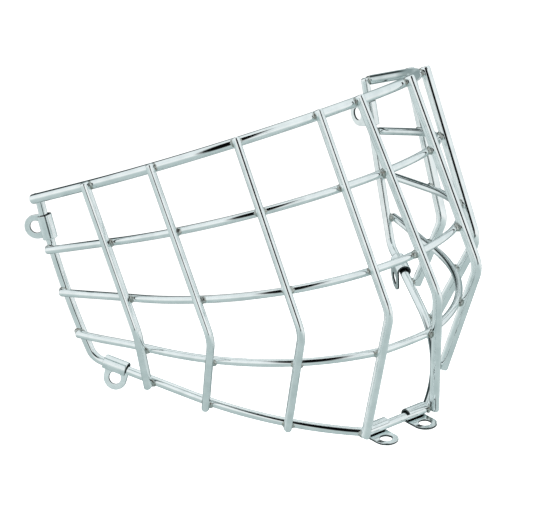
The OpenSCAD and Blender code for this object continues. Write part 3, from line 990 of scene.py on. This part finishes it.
@dataclass
class StrapClips:
    """The six clips: a stamped strap rolled round the perimeter wire, with a flat tab and a screw hole."""

    curves: CageCurves
    centre: Array
    finishes: tuple[Material, ...]
    edge_round: float = 0.26
    edge_steps: int = 3
    edge_limit: float = 50.0
    # Share of the thickness by which the roll's inner face, which gets the painted shade, is told from its
    # middle
    inside_share: float = 0.35
    hole_points: int = 96
    ring_steps: int = 10
    roll_steps: int = 40

    # Places of the finishes in the list: the strap's faces, its sheared rim and the inside of the roll; the
    # rim and the inside carry painted shade
    FACE, RIM, INSIDE = range(3)

    def roll_radius(self) -> float:
        """Returns the roll's radius at the middle of the strap's thickness."""
        z = self.curves.s
        return z.perimeter_wire / 2 + z.eye_clearance + z.strap_thickness / 2

    def flat_strap(self) -> tuple[Array, Faces]:
        """Lays out the strap before it is rolled.

        Returns:
            Points as length from the roll's start and place across the width, and faces.
        """
        z = self.curves.s
        half, hole_at = z.strap_width / 2, z.hole_reach + z.eye_shift
        corner = pi - atan2(half, hole_at)
        # Round end, long side, straight back edge and other side, each with its share of the points
        ends = (-pi / 2, pi / 2, corner, 2 * pi - corner, 3 * pi / 2)
        counts = [self.hole_points // share for share in (2, 8, 4, 8)]
        angles = np.concatenate([np.linspace(start, end, count, endpoint=False)
                                 for start, end, count in zip(ends, ends[1:], counts)])
        cosines, sines = np.cos(angles), np.sin(angles)
        square = np.minimum(half / np.maximum(np.abs(sines), TINY), hole_at / np.maximum(-cosines, TINY))
        reach = np.where(cosines >= -TINY, half, square)
        outer = np.column_stack((hole_at + reach * cosines, reach * sines))
        inner = np.column_stack((hole_at + z.screw_hole / 2 * cosines, z.screw_hole / 2 * sines))
        points = [inner + (outer - inner) * k / self.ring_steps for k in range(self.ring_steps + 1)]
        faces = turned_over(ring_faces(self.ring_steps + 1, len(angles)))
        # The roll continues from the points on the tab's straight back edge
        first = counts[0] + counts[1]
        rows = outer[first:first + counts[2] + 1, 1]
        roll = self.roll_radius() * radians(z.eye_wrap)
        before, now = self.ring_steps * len(angles) + first, (self.ring_steps + 1) * len(angles)
        for k in range(1, self.roll_steps + 1):
            points.append(np.column_stack((np.full(len(rows), -roll * k / self.roll_steps), rows)))
            faces += [(before + j, now + j, now + j + 1, before + j + 1) for j in range(len(rows) - 1)]
            before, now = now, now + len(rows)
        return np.vstack(points), faces

    def rolled(self, place: ClipPlace) -> Object:
        """Rolls the strap at one clip's place, as a sheet without thickness.

        Args:
            place: The clip's place.

        Returns:
            The sheet.
        """
        radius = self.roll_radius()
        flat, faces = self.flat_strap()
        seat, tab, inner = self.curves.clip_frame(place)
        turns = pi / 2 + np.maximum(0.0, -flat[:, 0]) / radius
        x = np.maximum(flat[:, 0], 0.0) + radius * np.cos(turns) - self.curves.s.eye_shift
        y = radius * np.sin(turns)
        points = seat + x[:, None] * tab + y[:, None] * inner + flat[:, 1:] * np.cross(tab, inner)
        if place.side < 0:
            points = mirrored(points)
            faces = [face[::-1] for face in faces]
        places = np.column_stack((flat[:, 1], np.zeros(len(flat)), flat[:, 0]))
        return new_mesh(place.node + "_sheet", points - self.centre, faces, places)

    def thickened(self, sheet: Object) -> Mesh:
        """Turns a sheet into a strap with a sheared rim and soft edges.

        Args:
            sheet: The sheet, which is removed.

        Returns:
            The strap's mesh.
        """
        thicken = sheet.modifiers.new("thickness", "SOLIDIFY")
        thicken.thickness = self.curves.s.strap_thickness * MM
        thicken.offset = 0.0
        # The rim faces get the sheared edge finish, whose near-black colour is painted shade
        thicken.material_offset_rim = self.RIM
        soften = sheet.modifiers.new("rolled_edges", "BEVEL")
        soften.width = self.edge_round * MM
        soften.segments = self.edge_steps
        soften.limit_method = "ANGLE"
        soften.angle_limit = radians(self.edge_limit)
        for material in self.finishes:
            sheet.data.materials.append(material)
        bpy.context.view_layer.update()
        mesh = bpy.data.meshes.new_from_object(sheet.evaluated_get(bpy.context.evaluated_depsgraph_get()))
        bpy.data.objects.remove(sheet)
        return mesh

    def build_one(self, place: ClipPlace) -> Object:
        """Builds one clip and paints shade on the inside of its roll.

        Args:
            place: The clip's place.

        Returns:
            The finished object.
        """
        z = self.curves.s
        mesh = self.thickened(self.rolled(place))
        mesh.name = place.node + "_strap"
        seat, tab, inner = self.curves.clip_frame(place)
        flip = np.array([float(place.side), 1.0, 1.0])
        eye = (seat - tab * z.eye_shift) * flip - self.centre
        spread = np.array([tab * flip, inner * flip])
        inside = self.roll_radius() - z.strap_thickness * self.inside_share
        # Faces nearer the wire than the roll's inner face get the finish with painted shade
        for polygon in mesh.polygons:
            away = np.linalg.norm(spread @ (np.array(polygon.center) / MM - eye))
            if away < inside and polygon.material_index == self.FACE:
                polygon.material_index = self.INSIDE
        return linked(mesh)

    def build(self) -> None:
        """Builds and dresses the six clips."""
        for place in CLIP_PLACES:
            dress(self.build_one(place), None, place.node, STRAP_SLOT, place.node)


@dataclass(frozen=True)
class PhotoCamera:
    """The camera at the photograph's viewing angle, in the cage's construction frame."""

    azimuth: float = -36.0
    roll: float = -20.336
    focal_pixels: float = 6021.0
    image_width: float = 533.0
    sensor: float = 36.0
    distance: float = 2761.777
    aim_right: float = -21.871
    aim_up: float = 7.192
    aim: tuple[float, float, float] = (0.0, 58.35, -65.0)
    # Nearest and farthest distance that it sees, in metres
    near_clip: float = 0.1
    far_clip: float = 60.0

    def axes(self) -> tuple[Array, Array, Array]:
        """Works out how the picture lies in the construction frame.

        Returns:
            The picture's right and up directions and the direction back to the camera.
        """
        a, r = radians(self.azimuth), radians(self.roll)
        level = LEFT * cos(a) + REAR * sin(a)
        right, up = level * cos(r) + UP * sin(r), UP * cos(r) - level * sin(r)
        return right, up, LEFT * sin(a) - REAR * cos(a)

    def build(self, centre: Array) -> None:
        """Makes the camera and gives it to the scene.

        Args:
            centre: The row frame's origin in the construction frame.
        """
        right, up, back = self.axes()
        target = np.array(self.aim) + right * self.aim_right + up * self.aim_up
        at = (target + back * self.distance - centre) * MM
        data = bpy.data.cameras.new("photo_camera")
        data.sensor_width = self.sensor
        data.lens = self.focal_pixels * self.sensor / self.image_width
        data.clip_start = self.near_clip
        data.clip_end = self.far_clip
        camera = bpy.data.objects.new("photo_camera", data)
        bpy.context.scene.collection.objects.link(camera)
        camera.matrix_world = Matrix([*np.column_stack((right, up, back, at)).tolist(), [0, 0, 0, 1]])
        bpy.context.scene.camera = camera


@dataclass(frozen=True)
class DarkPatch:
    """An oval dark place in the studio, given by its direction as the photographed wires mirror it.

    right and up are shares of a unit direction in the picture, and so are the oval's half sizes wide and
    high. tilt is its turn in degrees, and soft is how far its edge fades, as a share of its size.
    """

    right: float
    up: float
    tilt: float
    wide: float
    high: float
    soft: float
    colour: str


# The gap between the soft boxes round the photographer, the dim room to its right and the table's edge
PHOTOGRAPHER_GAP = DarkPatch(right=0.09, up=0.35, tilt=8.5, wide=0.29, high=0.75, soft=0.35, colour="#080A0A")
DIM_ROOM = DarkPatch(right=0.30, up=0.118, tilt=17.0, wide=0.27, high=0.045, soft=0.5, colour="#181C1C")
TABLE_EDGE = DarkPatch(right=0.25, up=-0.36, tilt=20.0, wide=0.22, high=0.07, soft=0.5, colour="#4A5454")


@dataclass
class Studio:
    """A white tent with a dark gap round the photographer, a pale floor and a white backdrop.

    Each ramp of cloth gives the light's colour by the share of a direction along one axis, from -1 to 1.
    """

    photo: PhotoCamera
    # Upwards: from the grey-green table below, over its bright front, to the pale cloth above
    cloth: Stops = ((-1.0, "#BECCCC"), (-0.6, "#C2CFCF"), (-0.34, "#D8E3E3"), (-0.12, "#FFFFFF"),
                    (0.12, "#F7FBFC"), (0.5, "#F0F6F8"), (1.0, "#F4F9FA"))
    # Forwards: the cloth behind the object hangs in shade, which draws the thin grey edge lines
    rear_cloth: Stops = ((-1.0, "#B4C0C0"), (-0.97, "#95A2A2"), (-0.82, "#9CA9A9"), (-0.62, "#F4F7F7"),
                         (-0.1, "#FFFFFF"), (1.0, "#FFFFFF"))
    # Above, behind and to the left, a dark gap between the cloths draws the line along the upper edges
    rear_gap: Stops = ((-1.0, "#FFFFFF"), (0.90, "#FFFFFF"), (0.955, "#3C4444"), (1.0, "#3C4444"))
    rear_gap_way: tuple[float, float, float] = (-0.44, 0.60, -0.67)
    # Share of a direction towards the camera from which the front patches show
    front_from: float = 0.5
    # The paper's tone wanders between these two, over so many patches across the floor
    paper_tone: tuple[float, float] = (0.93, 0.96)
    paper_patches: float = 60.0
    floor_glow: float = 0.8
    floor_half: float = 12.0
    backdrop_glow: float = 1.2
    dome_radius: float = 14.0
    dome_rings: int = 24
    dome_spokes: int = 48

    def world(self) -> None:
        """Makes the studio's light as a sky that depends on direction alone."""
        axes = np.array(self.photo.axes())
        world = bpy.data.worlds.new("white_tent")
        bpy.context.scene.world = world
        add = partial(add_node, emptied(world))
        way = add("TexCoord", out="Generated")
        gap_axis = unit(axes.T @ np.array(self.rear_gap_way))
        light = self.ramp(add, way, axes[1], self.cloth)
        for axis, stops in ((axes[2], self.rear_cloth), (gap_axis, self.rear_gap)):
            light = add("Mix", {"data_type": "RGBA", "blend_type": "MULTIPLY", "0": 1.0, "6": light,
                                "7": self.ramp(add, way, axis, stops)}, 2)
        forward = add("VectorMath", {"operation": "DOT_PRODUCT", "0": way, "1": tuple(axes[2])}, "Value")
        front = add("Math", {"operation": "GREATER_THAN", "0": forward, "1": self.front_from})
        for patch in (TABLE_EDGE, DIM_ROOM, PHOTOGRAPHER_GAP):
            light = self.darkened(add, way, light, front, patch)
        add("OutputWorld", {"Surface": add("Background", {"Strength": 1.0, "Color": light})})

    @staticmethod
    def ramp(add: Adder, way: NodeSocket, axis: Array, stops: Stops) -> NodeSocket:
        """Colours a direction by its share along an axis.

        Args:
            add: Adds a node to the tree.
            way: The direction.
            axis: The unit axis.
            stops: Each stop's share from -1 to 1 and its sRGB colour.

        Returns:
            The colour.
        """
        share = add("VectorMath", {"operation": "DOT_PRODUCT", "0": way, "1": tuple(axis)}, "Value")
        place = add("MapRange", {"Value": share, "From Min": -1.0, "From Max": 1.0})
        return add("ValToRGB", {"Fac": place, "stops": tuple(((at + 1) / 2, tone) for at, tone in stops)})

    def darkened(self, add: Adder, way: NodeSocket, light: NodeSocket, front: NodeSocket,
                 patch: DarkPatch) -> NodeSocket:
        """Lays one dark patch over the light that comes from the photographer's side.

        Args:
            add: Adds a node to the tree.
            way: The direction.
            light: The light before.
            front: One on the photographer's side, else zero.
            patch: The dark patch.

        Returns:
            The light after.
        """
        right, up, _ = self.photo.axes()
        tilt = radians(patch.tilt)
        level = right * cos(tilt) + up * sin(tilt)
        steep = up * cos(tilt) - right * sin(tilt)
        middle = right * patch.right + up * patch.up
        squares = []
        for axis, half in ((level, patch.wide), (steep, patch.high)):
            along = add("VectorMath", {"operation": "DOT_PRODUCT", "0": way, "1": tuple(axis)}, "Value")
            off = add("Math", {"operation": "MULTIPLY_ADD", "0": along, "1": 1 / half,
                               "2": -float(middle @ axis) / half})
            squares.append(add("Math", {"operation": "MULTIPLY", "0": off, "1": off}))
        away = add("Math", {"operation": "ADD", "0": squares[0], "1": squares[1]})
        edge = add("MapRange", {"Value": away, "From Min": 1.0 - patch.soft, "From Max": 1.0 + patch.soft,
                                "To Min": 1.0, "To Max": 0.0})
        inside = add("Math", {"operation": "MULTIPLY", "0": edge, "1": front})
        return add("Mix", {"data_type": "RGBA", "0": inside, "6": light, "7": linear(patch.colour)}, 2)

    def floor_paper(self) -> Material:
        """Makes matt white studio paper with a faintly uneven tone, lit from the table below.

        Returns:
            The material.
        """
        material = bpy.data.materials.new("matt_white_floor_paper")
        add = partial(add_node, emptied(material))
        patches = add("TexNoise", {"Scale": self.paper_patches, "Detail": 3.0})
        darkest, palest = self.paper_tone
        tone = add("MapRange", {"Value": patches, "To Min": darkest, "To Max": palest})
        lit = {"0": add("BsdfDiffuse", {"Color": tone}), "1": add("Emission", {"Strength": self.floor_glow})}
        add("OutputMaterial", {"Surface": add("AddShader", lit)})
        return material

    def backdrop_cloth(self) -> Material:
        """Makes cloth that is lit evenly from behind, so it shows as plain white.

        Returns:
            The material.
        """
        material = bpy.data.materials.new("lit_white_backdrop")
        add = partial(add_node, emptied(material))
        add("OutputMaterial", {"Surface": add("Emission", {"Strength": self.backdrop_glow})})
        return material

    def stage(self, floor_at: float) -> None:
        """Makes the floor and the backdrop.

        Args:
            floor_at: The floor's height in metres.
        """
        half = self.floor_half
        floor = bpy.data.meshes.new("studio_floor")
        floor.from_pydata([(x, y, floor_at) for x, y in ((-half, -half), (half, -half), (half, half),
                                                         (-half, half))], [], [(0, 1, 2, 3)])
        dome = bpy.data.meshes.new("studio_backdrop")
        ball = bmesh.new()
        bmesh.ops.create_uvsphere(ball, u_segments=self.dome_spokes, v_segments=self.dome_rings,
                                  radius=self.dome_radius)
        ball.to_mesh(dome)
        ball.free()
        for mesh, material, unseen_by in (
                (floor, self.floor_paper(), ("glossy",)),
                (dome, self.backdrop_cloth(), ("diffuse", "glossy", "transmission", "shadow"))):
            mesh.materials.append(material)
            piece = linked(mesh)
            for rays in unseen_by:
                setattr(piece, "visible_" + rays, False)
            piece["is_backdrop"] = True

    def build(self, floor_at: float) -> None:
        """Builds the light, the floor and the backdrop.

        Args:
            floor_at: The floor's height in metres.
        """
        self.world()
        self.stage(floor_at)
        bpy.context.scene.view_settings.view_transform = "Standard"


def main() -> None:
    """Builds the cage's looks and the studio, and measures the part's sizes before, to set the floor's
    height.
    """
    logging.basicConfig(level=logging.INFO, format="%(message)s")
    cad_low, cad_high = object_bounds()
    curves = CageCurves(CageSizes())
    centre = curves.box_centre()
    LOG.info("the row frame's origin is at %s mm", np.round(centre, 3))
    photo = PhotoCamera()
    photo.build(centre)
    WeldedWires(curves, centre, CHROMED_WIRE.build()).build()
    WeldNuggets(curves, centre, PLATED_WELD.build()).build()
    strap_finishes = tuple(finish.build() for finish in (CHROMED_STRAP, SHEARED_EDGE_PAINTED_SHADE, UNPLATED_AND_SHADED_INSIDE))
    StrapClips(curves, centre, strap_finishes).build()
    Studio(photo).build(cad_low.z)


if __name__ == "__main__":
    main()
